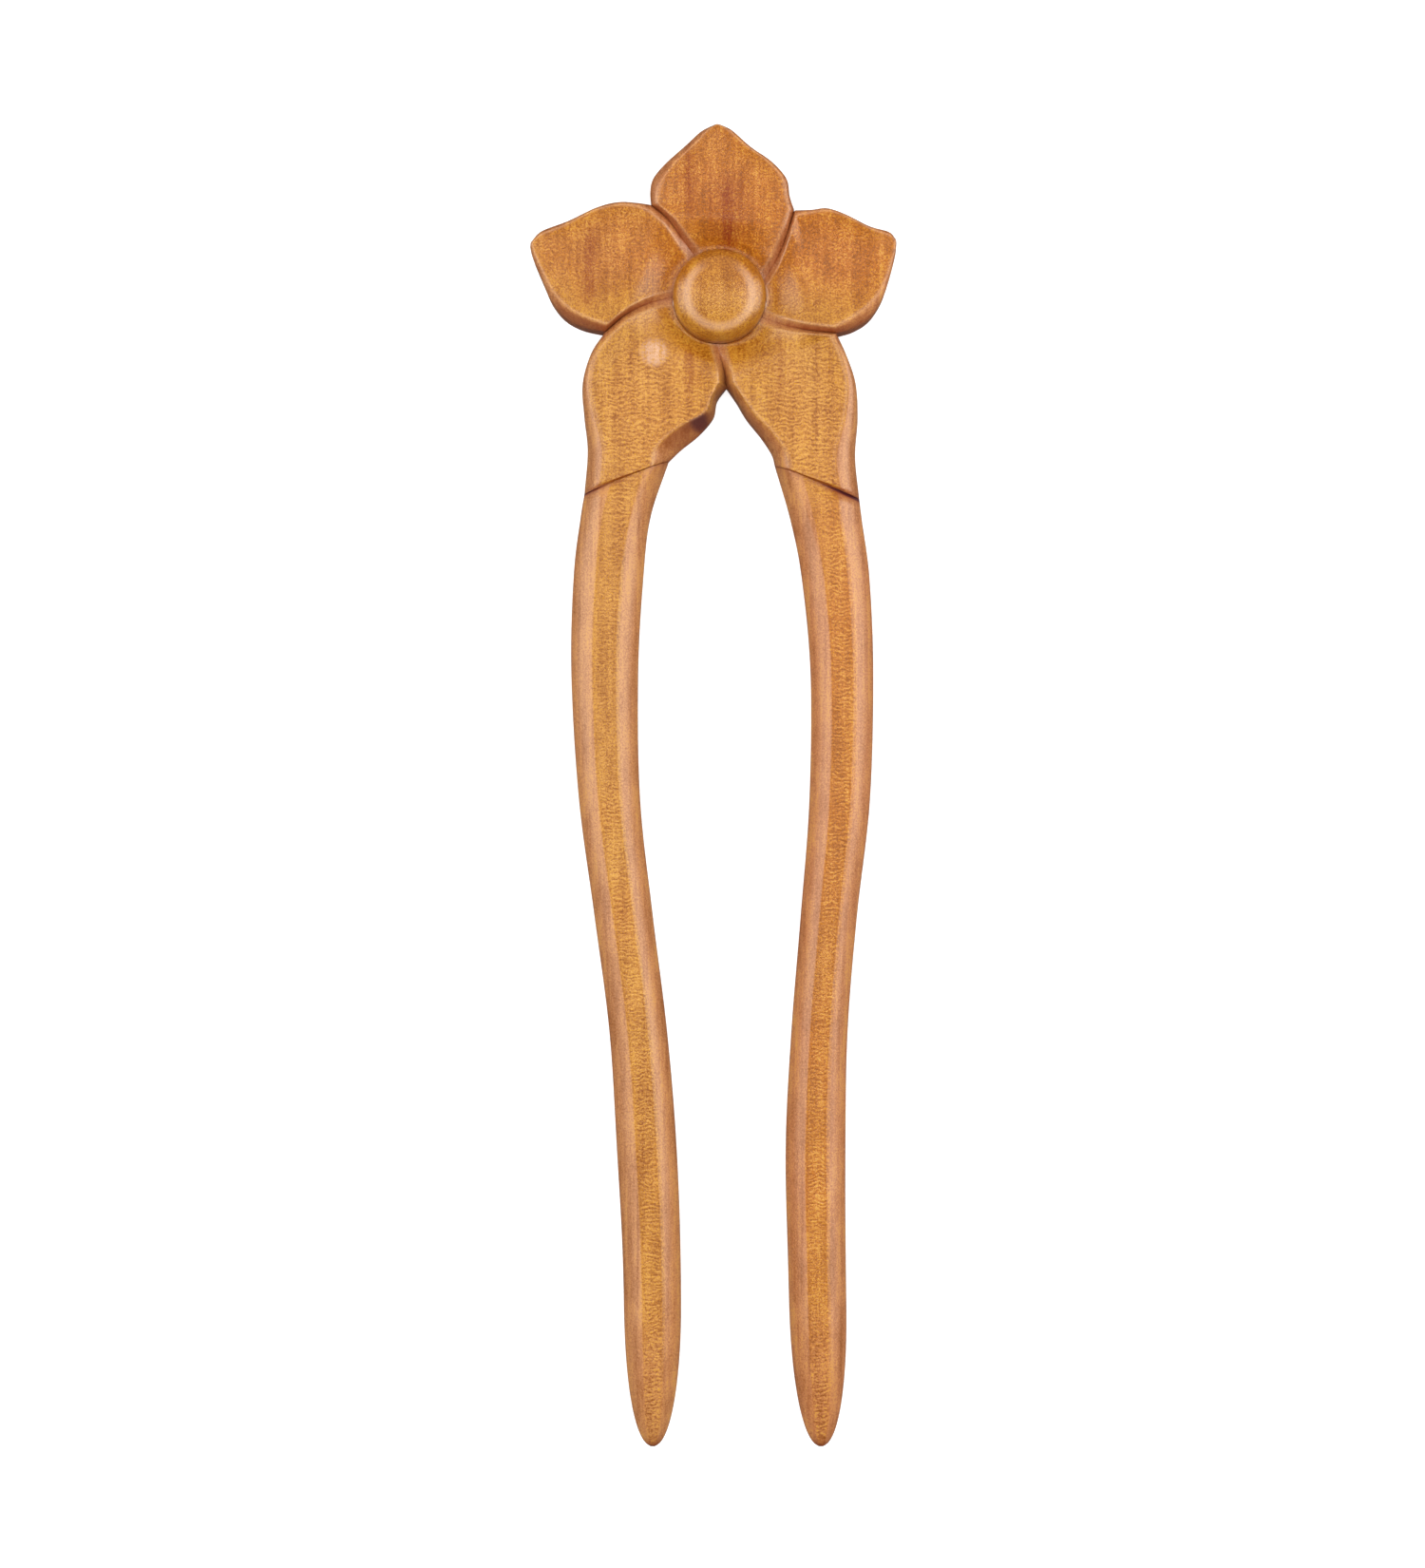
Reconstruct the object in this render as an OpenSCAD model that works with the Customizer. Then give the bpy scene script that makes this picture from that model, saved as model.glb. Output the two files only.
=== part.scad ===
// Two-pronged hair fork with a carved five-petal flower head.
//
// The fork is carved from one board of wood. Each carved element is a solid of
// its own here, parted along the lines that the carver cut: the grooves between
// the petals, the ring around the boss and the notch at the top of each prong.
//
// The fork lies on its back. +Z is the front, +Y runs from the prong tips to the
// top petal, and the origin is on the back face, under the middle of the boss.

/* [Overall] */
// Length from the tip of the top petal to the tips of the prongs
overall_length = 170; // [140:1:205]
// Width across the two upper side petals
flower_width = 47; // [39:0.5:57]

/* [Flower] */
// Diameter of the round boss in the middle
boss_diameter = 12; // [9:0.25:14.5]
// Height of the boss above the back face
boss_height = 9.6; // [8.2:0.1:12]
// Radius of the boss's domed top
boss_crown_radius = 12; // [7.5:0.1:20]
// Radius of the rounding between the boss's top and its side
boss_edge_radius = 2.4; // [1:0.1:3.5]
// Height of the petal rims above the back face
rim_height = 7.4; // [6:0.1:9]
// Height of the petals where they meet the boss
petal_root_height = 5.4; // [4:0.1:6]
// Depth of the hollow across the middle of a petal
cup_depth = 1.3; // [0.4:0.1:2]
// Width of one side of the groove between two petals
groove_width = 0.9; // [0.3:0.05:1.2]
// Depth of the groove between two petals
groove_depth = 0.75; // [0.4:0.05:2]
// Rounding of the edges around the back of the flower
back_round = 0.8; // [0.3:0.1:1.5]

/* [Prongs] */
// Width of a prong just below its notch
prong_width = 9.2; // [7.5:0.1:11.5]
// Thickness of a prong
prong_thickness = 6.4; // [5:0.1:8]
// Distance between the prongs' centre lines where they stand furthest apart
prong_spread = 30.5; // [25:0.5:37]
// Length over which a prong narrows to its tip
tip_length = 18.6; // [10:0.2:30]
// Width of the bevel down each side of a prong, as a share of half the prong
bevel_share = 0.7; // [0.4:0.05:0.9]
// Rise of a prong's crowned middle above its bevels
crown_rise = 0.25; // [0:0.05:0.5]

/* [Notches] */
// Height of the sheath's lip above the prong at the notch
notch_step = 0.4; // [0.2:0.1:1.2]
// Depth of the cut below the prong's own surface
notch_depth = 0.5; // [0.2:0.1:1]
// Distance over which the cut runs out along the prong
notch_run = 2.4; // [1.5:0.1:4]

/* [Hidden] */

petal_colour = [0.80, 0.52, 0.26];
boss_colour = [0.83, 0.57, 0.32];
prong_colour = [0.78, 0.50, 0.27];

seam_rows = 7;        // rows of points along a groove
petal_rows = 15;      // rows from the end of the groove to a petal's tip
sheath_rows = 10;     // rows from the end of the groove to the notch
prong_rows = 34;      // rows along a prong
columns = 16;         // steps across a petal or prong
boss_gap = 0.04;      // clearance between the petals' faceted roots and the round boss
side_flat = 0.15;     // half the height of the flat left along a prong's two sides
blunt = 0.6;          // width of the small flat at every tip
taper_power = 2.2;    // 2 makes the tips elliptical, more makes them blunter
ring_drop = 0.35;     // depth of the ring cut around the boss
ring_rows = 2;        // rows over which that cut runs out
notch_share = 0.59;   // half the width of a notch, as a share of prong_width
sheath_hold = 0.3;    // share of a sheath that keeps the petal's own edges
bevel_run = 14;       // distance over which a prong's bevels reach their full width
crest_soft = 0.4;     // softening of the crest of a nearly round edge

// An edge is a mixture of a quarter round (0) and a flat facet (1).
groove_facet = 0.9;
plain_facet = 0.3;
prong_facet = 0.5;

boss_r = boss_diameter / 2;
drawn_width = 47;     // flower width at which the points below are drawn
drawn_spread = 30.5;  // prong spread at which the tables below are drawn
plan = flower_width / drawn_width;
sway = prong_spread / drawn_spread;
top_reach = 22 * plan;  // boss centre to the tip of the top petal
prong_end_y = top_reach - overall_length;
mid_z = prong_thickness / 2;

// ---- Curves ----

function blend(a, b, t) = a + (b - a) * t;
function ease(t) = let (c = min(max(t, 0), 1)) c * c * (3 - 2 * c);

// Point t of the way between b and c on the smooth curve through a, b, c and d.
function catmull(a, b, c, d, t) =
    b + (c - a) * (t / 2) + (a * 2 - b * 5 + c * 4 - d) * (t * t / 2)
    + (b * 3 - a - c * 3 + d) * (t * t * t / 2);

// Point at share s (0 to 1) of the smooth curve through the points p.
function along(p, s) =
    let (
        n = len(p) - 1,
        i = min(floor(s * n), n - 1),
        before = i > 0 ? p[i - 1] : p[0] * 2 - p[1],
        after = i < n - 1 ? p[i + 2] : p[n] * 2 - p[n - 1]
    )
    catmull(before, p[i], p[i + 1], after, s * n - i);

// ---- Valleys: where the outline dips between two petals ----
// x, y, and the width and depth of one side of the groove as it runs out there.

valley_top_left = [-8.8, 11.7, 0.9, 1.5];
valley_top_right = [9.6, 11.0, 0.8, 1.4];
valley_left = [-14.7, -4.6, 1.0, 1.8];
valley_right = [15.0, -4.8, 0.9, 1.5];
crotch = [0.9, -11.5, 1.1, 3.6];

// ---- Grooves: from the boss out to a valley ----
// Each leaves the boss at an angle, and bends sideways a third and two thirds of the way.

function groove(angle, valley, bends) =
    let (
        start = (boss_r + boss_gap) * [cos(angle), sin(angle)],
        end = [valley.x, valley.y] * plan,
        aim = (end - start) / norm(end - start),
        side = [-aim.y, aim.x]
    )
    [
        start,
        blend(start, end, 1 / 3) + side * bends[0],
        blend(start, end, 2 / 3) + side * bends[1],
        end
    ];

groove_top_left = groove(121, valley_top_left, [-0.2, -0.4]);
groove_top_right = groove(21, valley_top_right, [-0.5, -0.4]);
groove_left = groove(180, valley_left, [-0.7, -0.7]);
groove_right = groove(-25, valley_right, [-0.4, -0.4]);
groove_bottom = groove(268, crotch, [0, 0.1]);

// ---- Free edges ----
// Each point is x, y, width of the rounded edge, and how far that edge drops.

function edge(valley, points) =
    [for (p = concat([valley], points)) [p.x * plan, p.y * plan, p[2], p[3]]];

top_left_edge = edge(valley_top_left, [
    [-8.9, 13.5, 1.2, 1.8], [-8.5, 15.2, 1.4, 2.0], [-6.9, 17.1, 1.3, 1.8],
    [-4.3, 19.4, 1.1, 1.6], [-2.4, 21.1, 0.9, 1.4], [-0.6, 22, 0.7, 1.2]
]);
top_right_edge = edge(valley_top_right, [
    [9.0, 12.8, 0.6, 1.0], [8.6, 15.0, 0.6, 1.0], [6.7, 17.2, 0.6, 1.0],
    [4.0, 19.1, 0.6, 1.0], [1.6, 21.2, 0.6, 1.0], [0.0, 22, 0.7, 1.2]
]);
upper_left_high_edge = edge(valley_top_left, [
    [-10.6, 11.9, 0.5, 0.9], [-13.0, 12.0, 0.5, 0.9], [-15.8, 11.3, 0.5, 0.9],
    [-19.4, 9.6, 0.6, 1.0], [-22.8, 8.3, 0.7, 1.1], [-24.2, 6.9, 0.8, 1.2]
]);
upper_left_low_edge = edge(valley_left, [
    [-17.7, -3.9, 1.3, 2.6], [-19.9, -2.7, 1.3, 2.3], [-21.5, -0.8, 1.1, 1.8],
    [-22.6, 1.6, 0.9, 1.4], [-23.9, 4.7, 0.8, 1.2], [-24.3, 6.2, 0.8, 1.2]
]);
upper_right_high_edge = edge(valley_top_right, [
    [11.8, 11.0, 0.4, 0.8], [13.8, 11.2, 0.4, 0.8], [16.2, 10.4, 0.4, 0.8],
    [19.2, 8.9, 0.4, 0.8], [21.7, 8.2, 0.6, 1.0], [22.6, 7.3, 0.7, 1.1]
]);
upper_right_low_edge = edge(valley_right, [
    [17.3, -4.1, 1.4, 2.0], [19.3, -2.8, 1.5, 1.9], [20.8, -0.6, 1.1, 1.5],
    [21.7, 1.9, 0.8, 1.2], [22.5, 5.0, 0.6, 1.0], [22.7, 6.6, 0.7, 1.1]
]);

// ---- Sheaths: the lower petals run down over the tops of the prongs ----

// Centre of a prong at its notch. The notch runs outwards and down.
left_root = [-12.0 * sway, -23.2 * plan];
right_root = [12.6 * sway, -23.8 * plan];
notch_rise = 0.38;                            // rise of the notch for each millimetre across
notch_half = prong_width * notch_share;       // half its width, measured across
notch_reach = notch_half * norm([1, notch_rise]);

function notch_end(root, side) =
    [root.x + side * notch_half, root.y - side * sign(root.x) * notch_half * notch_rise];

left_notch = [notch_end(left_root, -1), notch_end(left_root, 1)];
right_notch = [notch_end(right_root, -1), notch_end(right_root, 1)];

// A sheath follows the flower's width at its top and the prongs' spread at its notch.
function lean(y) = blend(plan, sway, ease((-y - 9) / 13));

// Its last point takes its own edge width.
function sheath_edge(valley, points, notch_point, width) = concat(
    [for (p = concat([valley], points)) [p.x * lean(p.y), p.y * plan, p[2], p[3]]],
    [[notch_point.x, notch_point.y, width, prong_thickness / 2]]
);

left_outer_edge = sheath_edge(valley_left, [
    [-16.5, -7.4, 0.8, 1.3], [-17.6, -11.3, 1.1, 1.6],
    [-17.4, -15.5, 1.7, 2.3], [-17.0, -19.8, 2.2, 3.0]
], left_notch[0], 2.4);
left_inner_edge = sheath_edge(crotch, [
    [-0.3, -13.2, 0.8, 3.4], [-0.8, -15.4, 1.3, 3.4],
    [-2.6, -17.6, 3.2, 4.0], [-5.0, -19.6, 3.3, 4.0]
], left_notch[1], 2.3);
right_outer_edge = sheath_edge(valley_right, [
    [16.3, -7.6, 0.9, 1.3], [17.5, -11.2, 1.3, 1.7],
    [17.8, -15.5, 2.0, 2.3], [17.5, -20.5, 2.8, 3.0]
], right_notch[1], 3.0);
right_inner_edge = sheath_edge(crotch, [
    [2.2, -13.4, 1.0, 3.2], [3.5, -15.6, 1.3, 2.8],
    [5.3, -17.9, 1.7, 2.8], [6.7, -20.1, 2.0, 3.0]
], right_notch[0], 2.2);

// ---- Prongs ----
// Each station is the share of the way from notch to tip, the centre line's x, and the
// width as a share of prong_width. The shares need not be even.

left_stations = [
    [0.04, -13.4, 0.98], [0.10, -14.3, 0.98], [0.20, -14.8, 0.94],
    [0.33, -14.2, 0.86], [0.45, -12.4, 0.82], [0.57, -10.5, 0.81],
    [0.69, -9.4, 0.84], [0.82, -8.7, 0.81], [1.00, -8.6, 0.78]
];
right_stations = [
    [0.04, 13.8, 1.00], [0.10, 15.0, 0.95], [0.20, 15.8, 0.88],
    [0.33, 15.5, 0.85], [0.45, 14.1, 0.79], [0.57, 12.9, 0.79],
    [0.69, 12.4, 0.84], [0.82, 12.6, 0.81], [1.00, 13.1, 0.78]
];

// Share of the full width and thickness left at a height y, inside the tip.
function tip_share(y) =
    let (into = max(0, 1 - (y - prong_end_y) / tip_length))
    pow(max(0, 1 - pow(into, taper_power)), 1 / taper_power);

// One side (-1 or 1) of a prong as points x, y, from its notch down to its tip.
function prong_side(stations, root, notch_point, side) = concat(
    [notch_point],
    [for (s = stations) [
        s[1] * sway + side * s[2] * prong_width / 2,
        blend(root.y, prong_end_y, s[0])
    ]]
);

// ---- Rails ----
// A blade lies between two rails. A rail point is
// [x, y, rim height, edge width, edge drop, base height, back edge width, back edge rise,
// facet].

// A groove starts at its own width and depth, and ends at those of the valley.
function seam_rail(points, valley, facet) = [
    for (k = [0:seam_rows - 1]) let (s = k / (seam_rows - 1), p = along(points, s)) [
        p.x, p.y, blend(petal_root_height, rim_height, ease(s * 1.2)),
        blend(groove_width, valley[2], s * s),
        blend(groove_depth * ease(0.4 + s), valley[3], s * s),
        0, back_round, 0, blend(groove_facet, facet, s * s)
    ]
];

function free_rail(points, facet) = [
    for (k = [1:petal_rows]) let (p = along(points, k / petal_rows)) [
        p.x, p.y, rim_height, p[2], p[3], 0, back_round, back_round, facet
    ]
];

// Along a sheath the back and both sides turn into those of the prong.
function sheath_rail(points, facet) = [
    for (k = [1:sheath_rows]) let (
        s = k / sheath_rows,
        p = along(points, s),
        prong = ease((s - sheath_hold) / (1 - sheath_hold)),
        rim = blend(rim_height, prong_thickness + notch_step, ease(s)),
        drop = blend(p[3], rim - mid_z - side_flat, prong)
    ) [
        p.x, p.y, rim, p[2], drop, 0,
        blend(back_round, notch_reach, prong),
        blend(back_round, mid_z - side_flat, ease(s)), facet
    ]
];

// The rails of a prong share their rows, so its two sides are worked out together.
// For the left and right side, bevels holds the bevel's width at the notch, and cuts the
// depth of the notch as shares of notch_depth.
function prong_rails(stations, root, notch, bevels, cuts) =
    let (
        left = prong_side(stations, root, notch[0], -1),
        right = prong_side(stations, root, notch[1], 1)
    )
    [for (side = [0, 1]) [
        for (k = [0:prong_rows])
            let (
                s = 1 - pow(1 - k / prong_rows, 1.25),
                a = along(left, s),
                b = along(right, s),
                y = side == 0 ? a.y : b.y,
                share = tip_share(y),
                middle = (a + b) / 2,
                reach = max(norm(b - a) * share, blunt) / 2,
                unit = (b - a) / norm(b - a),
                p = middle + unit * reach * (side == 0 ? -1 : 1),
                thick = max(mid_z * share, blunt / 2),
                turned = thick - min(side_flat, thick / 2),
                gone = norm(middle - (notch[0] + notch[1]) / 2),
                cut = cuts[side] * notch_depth * (1 - ease(gone / notch_run)),
                sunk = cut + crown_rise * share
            )
            [
                p.x, p.y, mid_z + thick - sunk,
                blend(bevels[side], bevel_share * reach, ease(gone / bevel_run)),
                turned - sunk, mid_z - thick, reach, turned, prong_facet
            ]
    ]];

// ---- Blades ----

// Share of an edge's drop that is left at a distance from it.
function round_off(distance, width, facet = 0) =
    let (
        near = 1 - min(distance / max(width, 0.01), 1),
        soft = crest_soft * (1 - facet),
        slope = near * near / (near + soft + 0.000001) * (1 + soft)
    )
    blend(1 - sqrt(1 - near * near), slope, facet);

// Columns crowd towards both edges, where the surface turns.
function column(j) = (1 - cos(180 * j / columns)) / 2;

function front_z(l, r, v, cup) =
    let (w = norm([r.x - l.x, r.y - l.y]))
    blend(l[2], r[2], v) - cup * 4 * v * (1 - v)
    - l[4] * round_off(v * w, l[3], l[8]) - r[4] * round_off((1 - v) * w, r[3], r[8]);

function back_z(l, r, v) =
    let (w = norm([r.x - l.x, r.y - l.y]))
    blend(l[5], r[5], v)
    + l[7] * round_off(v * w, l[6]) + r[7] * round_off((1 - v) * w, r[6]);

// Moves a row's point from the straight line onto the boss's circle, fading out by the
// end of the groove.
function root_shift(left, right, i, v) =
    let (
        fade = pow(max(0, 1 - i / (seam_rows + 2)), 2),
        a = atan2(left[0].y, left[0].x),
        b = atan2(right[0].y, right[0].x),
        turn = (b - a) > 180 ? b - a - 360 : (b - a) < -180 ? b - a + 360 : b - a,
        on_circle = (boss_r + boss_gap) * [cos(a + turn * v), sin(a + turn * v)],
        on_line = [blend(left[0].x, right[0].x, v), blend(left[0].y, right[0].y, v)]
    )
    (on_circle - on_line) * fade;

// Solid between two rails. cups is the depth of the hollow for each row, negative for a
// crown, and a rooted blade starts on the boss.
module blade(left, right, cups, rooted) {
    rows = len(left) - 1;
    row_size = columns + 1;
    layer = (rows + 1) * row_size;
    points = [
        for (face = [0, 1]) for (i = [0:rows]) for (j = [0:columns])
            let (
                v = column(j),
                shift = rooted ? root_shift(left, right, i, v) : [0, 0],
                fade = rooted ? ring_drop * (1 - ease(i / ring_rows)) : 0
            )
            [
                blend(left[i].x, right[i].x, v) + shift.x,
                blend(left[i].y, right[i].y, v) + shift.y,
                face == 0 ? front_z(left[i], right[i], v, cups[i]) - fade
                          : back_z(left[i], right[i], v)
            ]
    ];
    function at(face, i, j) = face * layer + i * row_size + j;
    function two(a, b, c, d) = [[a, b, c], [a, c, d]];
    faces = [
        for (i = [0:rows - 1]) for (j = [0:columns - 1]) each concat(
            two(at(0, i, j), at(0, i, j + 1), at(0, i + 1, j + 1), at(0, i + 1, j)),
            two(at(1, i, j), at(1, i + 1, j), at(1, i + 1, j + 1), at(1, i, j + 1))
        ),
        for (i = [0:rows - 1]) each concat(
            two(at(0, i, 0), at(0, i + 1, 0), at(1, i + 1, 0), at(1, i, 0)),
            two(at(0, i, columns), at(1, i, columns), at(1, i + 1, columns), at(0, i + 1, columns))
        ),
        for (j = [0:columns - 1]) each concat(
            two(at(0, 0, j), at(1, 0, j), at(1, 0, j + 1), at(0, 0, j + 1)),
            two(at(0, rows, j), at(0, rows, j + 1), at(1, rows, j + 1), at(1, rows, j))
        )
    ];
    polyhedron(points, faces, convexity = 6);
}

// Depth of the hollow along a petal: deepest near the boss, gone at its end.
function cups(rows, depth) = [
    for (i = [0:rows]) let (s = i / rows) depth * sin(180 * pow(s, 0.7)) * (1 - 0.3 * s)
];

// ---- Pieces ----

// The dome's arc and the rounding's arc meet on a line through both their centres.
module boss() {
    crown_z = boss_height - boss_crown_radius;
    edge_x = boss_r - boss_edge_radius;
    edge_z = crown_z + sqrt(pow(boss_crown_radius - boss_edge_radius, 2) - edge_x * edge_x);
    color(boss_colour) rotate_extrude($fn = 96) intersection() {
        square([boss_r, boss_height]);
        union() {
            square([boss_r, edge_z]);
            translate([edge_x, edge_z]) circle(r = boss_edge_radius, $fn = 96);
            translate([0, crown_z]) intersection() {
                circle(r = boss_crown_radius, $fn = 96);
                polygon([[0, 0], [edge_x, edge_z - crown_z] * 3, [0, boss_height * 3]]);
            }
        }
    }
}

// facets holds the facet share of a petal's left and right free edge.
module petal(left_groove, left_edge, right_groove, right_edge, facets) {
    color(petal_colour) blade(
        concat(
            seam_rail(left_groove, left_edge[0], facets[0]),
            free_rail(left_edge, facets[0])
        ),
        concat(
            seam_rail(right_groove, right_edge[0], facets[1]),
            free_rail(right_edge, facets[1])
        ),
        cups(seam_rows + petal_rows - 1, cup_depth), true
    );
}

module sheathed_petal(left_groove, left_edge, right_groove, right_edge, facets) {
    color(petal_colour) blade(
        concat(
            seam_rail(left_groove, left_edge[0], facets[0]),
            sheath_rail(left_edge, facets[0])
        ),
        concat(
            seam_rail(right_groove, right_edge[0], facets[1]),
            sheath_rail(right_edge, facets[1])
        ),
        cups(seam_rows + sheath_rows - 1, cup_depth), true
    );
}

module prong(stations, root, notch, bevels, cuts) {
    rails = prong_rails(stations, root, notch, bevels, cuts);
    crowns = [for (r = rails[0]) -crown_rise * tip_share(r.y)];
    color(prong_colour) blade(rails[0], rails[1], crowns, false);
}

boss();  // flower_boss
petal(  // petal_top
        groove_top_left, top_left_edge, groove_top_right, top_right_edge, [0.6, plain_facet]
    );
petal(  // petal_upper_left
        groove_left, upper_left_low_edge, groove_top_left, upper_left_high_edge,
        [0.5, plain_facet]
    );
petal(  // petal_upper_right
        groove_top_right, upper_right_high_edge, groove_right, upper_right_low_edge,
        [plain_facet, 0.4]
    );
sheathed_petal(  // petal_lower_left
        groove_bottom, left_inner_edge, groove_left, left_outer_edge, [0.85, plain_facet]
    );
sheathed_petal(  // petal_lower_right
        groove_right, right_outer_edge, groove_bottom, right_inner_edge, [0.1, 0.4]
    );
prong(left_stations, left_root, left_notch, [2.4, 2.3], [0.9, -0.8]);  // prong_left
prong(right_stations, right_root, right_notch, [2.2, 3.0], [-0.8, 1.7]);  // prong_right
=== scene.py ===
# %% [markdown]
# # A carved flower hair fork
#
# The fork is one board of close-grained, honey-coloured wood. A carver sawed out the
# outline, cut grooves between the petals, hollowed each petal, rounded the prongs, sanded
# everything and rubbed in oil. This lesson builds it the same way: outlines first, then
# grooves and hollows, then the finish.
#
# The packed model is the fixed frame. It says how large the fork is and where it lies:
# flat on its back, +Z out of the carved front, +Y towards the top petal.

# %% Load the frame
import math

import bmesh
import bpy
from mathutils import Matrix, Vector, noise


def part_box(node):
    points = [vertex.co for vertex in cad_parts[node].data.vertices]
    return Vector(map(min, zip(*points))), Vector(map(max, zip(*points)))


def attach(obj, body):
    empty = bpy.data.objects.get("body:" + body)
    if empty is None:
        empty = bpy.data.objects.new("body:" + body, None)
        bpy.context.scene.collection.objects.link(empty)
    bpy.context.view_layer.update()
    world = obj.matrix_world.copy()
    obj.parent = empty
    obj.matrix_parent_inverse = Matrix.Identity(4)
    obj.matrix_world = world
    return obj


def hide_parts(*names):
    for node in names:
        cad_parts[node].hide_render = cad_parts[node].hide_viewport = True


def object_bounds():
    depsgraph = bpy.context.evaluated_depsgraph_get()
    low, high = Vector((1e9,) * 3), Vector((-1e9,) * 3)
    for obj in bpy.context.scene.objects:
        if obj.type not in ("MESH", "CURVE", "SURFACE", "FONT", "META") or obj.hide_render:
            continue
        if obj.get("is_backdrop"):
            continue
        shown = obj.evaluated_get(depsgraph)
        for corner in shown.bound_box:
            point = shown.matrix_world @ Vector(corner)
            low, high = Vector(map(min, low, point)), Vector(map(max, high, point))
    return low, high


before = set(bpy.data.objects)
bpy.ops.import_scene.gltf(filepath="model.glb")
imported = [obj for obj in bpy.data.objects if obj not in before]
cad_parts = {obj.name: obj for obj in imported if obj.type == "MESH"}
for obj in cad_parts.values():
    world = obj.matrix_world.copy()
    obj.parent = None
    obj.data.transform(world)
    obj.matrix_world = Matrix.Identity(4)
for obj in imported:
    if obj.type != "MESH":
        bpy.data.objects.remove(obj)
cad_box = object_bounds()
MM = 0.001
low, high = (corner / MM for corner in cad_box)
print(f"the fork is {high.x - low.x:.1f} x {high.y - low.y:.1f} x {high.z - low.z:.1f} mm")

# %% [markdown]
# ## Camera
#
# The fork lies flat and is seen from straight above, with a long lens from half a metre
# away, so that the flower and the tips are drawn at almost the same scale. The view is
# a little taller than the fork.

# %% Camera
LENS = 95
SENSOR = 36
VIEW_HEIGHT = 201.8  # how much of the table the picture's height covers, in mm
VIEW_X, VIEW_DOWN = -0.9, 84.6  # the middle of the view: its x, and how far below the top
RIM = 7.4  # height of the petal rims

camera_data = bpy.data.cameras.new("camera")
camera_data.lens = LENS
camera_data.sensor_width = SENSOR
camera = bpy.data.objects.new("camera", camera_data)
bpy.context.scene.collection.objects.link(camera)
bpy.context.scene.camera = camera
camera_height = VIEW_HEIGHT * LENS / SENSOR + 0.6 * RIM
camera.location = Vector((VIEW_X, high.y - VIEW_DOWN, camera_height)) * MM
print(f"the camera stands {camera_height:.0f} mm above the table")

# %% [markdown]
# ## Smooth curves from a few points
#
# A carver draws an outline with a few points and a steady hand. A Catmull-Rom curve does
# the same: it passes through every point and turns smoothly between them. Each point
# carries two more numbers, the width and the depth of the rounding that is carved along
# the edge there, and those change just as smoothly.

# %% Curves
def blend(a, b, share):
    return a + (b - a) * share


def ease(share):
    share = min(max(share, 0), 1)
    return share * share * (3 - 2 * share)


def along(points, share):
    """The point at a share of the way along the smooth curve through the points."""
    last = len(points) - 1
    i = min(int(share * last), last - 1)
    t = share * last - i
    a = points[i - 1] if i > 0 else points[0] * 2 - points[1]
    b, c = points[i], points[i + 1]
    d = points[i + 2] if i < last - 1 else points[last] * 2 - points[last - 1]
    bend = (2 * a - 5 * b + 4 * c - d) * (t * t) + (3 * b - a - 3 * c + d) * (t * t * t)
    return b + ((c - a) * t + bend) / 2


corner = [Vector((0, 0)), Vector((1, 0)), Vector((1, 1))]
print("halfway along a corner:", along(corner, 0.5))

# %% [markdown]
# ## Grooves and edges of the flower
#
# Five grooves run from the round boss to the valleys of the outline. Every petal lies
# between two grooves, and two neighbours share one, so each groove is written once.
# A point holds x, y, and the width and depth of the carved edge, in millimetres.

# %% Valleys and grooves
BOSS_RADIUS = 6
BOSS_GAP = 0.04
GROOVE_WIDTH, GROOVE_DEPTH = 0.9, 0.75

VALLEYS = {
    "top left": Vector((-8.8, 11.7, 0.9, 1.5)),
    "top right": Vector((9.6, 11.0, 0.8, 1.4)),
    "left": Vector((-14.7, -4.6, 1.0, 1.8)),
    "right": Vector((15.0, -4.8, 0.9, 1.5)),
    "crotch": Vector((0.9, -11.5, 1.1, 3.6)),
}


def groove(angle, valley, near_bend, far_bend):
    """Four points from the boss to a valley, bent sideways at one and two thirds."""
    turn = math.radians(angle)
    start = Vector((math.cos(turn), math.sin(turn))) * (BOSS_RADIUS + BOSS_GAP)
    end = VALLEYS[valley].xy
    aim = (end - start).normalized()
    side = Vector((-aim.y, aim.x))
    middle = [
        start.lerp(end, 1 / 3) + side * near_bend,
        start.lerp(end, 2 / 3) + side * far_bend,
    ]
    return [start, *middle, end]


GROOVES = {
    "top left": groove(121, "top left", -0.2, -0.4),
    "top right": groove(21, "top right", -0.5, -0.4),
    "left": groove(180, "left", -0.7, -0.7),
    "right": groove(-25, "right", -0.4, -0.4),
    "crotch": groove(268, "crotch", 0, 0.1),
}
print(len(GROOVES), "grooves")

# %% [markdown]
# The free edges start at the valleys. Two edges meet at the tip of each petal. Those of
# the lower petals run on as sheaths over the tops of the prongs and end at a notch.

# %% Free edges
PRONG_WIDTH, PRONG_THICK = 9.2, 6.4
NOTCH_RISE = 0.38  # how steeply the notches slant
NOTCH_HALF = 0.59 * PRONG_WIDTH
LEFT_ROOT, RIGHT_ROOT = Vector((-12.0, -23.2)), Vector((12.6, -23.8))


def notch_end(root, side, bevel=0):
    """Where the notch of a prong meets its left (-1) or right (1) side."""
    drop = side * math.copysign(NOTCH_HALF * NOTCH_RISE, root.x)
    return Vector((root.x + side * NOTCH_HALF, root.y - drop, bevel, PRONG_THICK / 2))


def edge(valley, *points, end=None):
    run = [VALLEYS[valley], *(Vector(point) for point in points)]
    return run if end is None else [*run, end]


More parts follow.
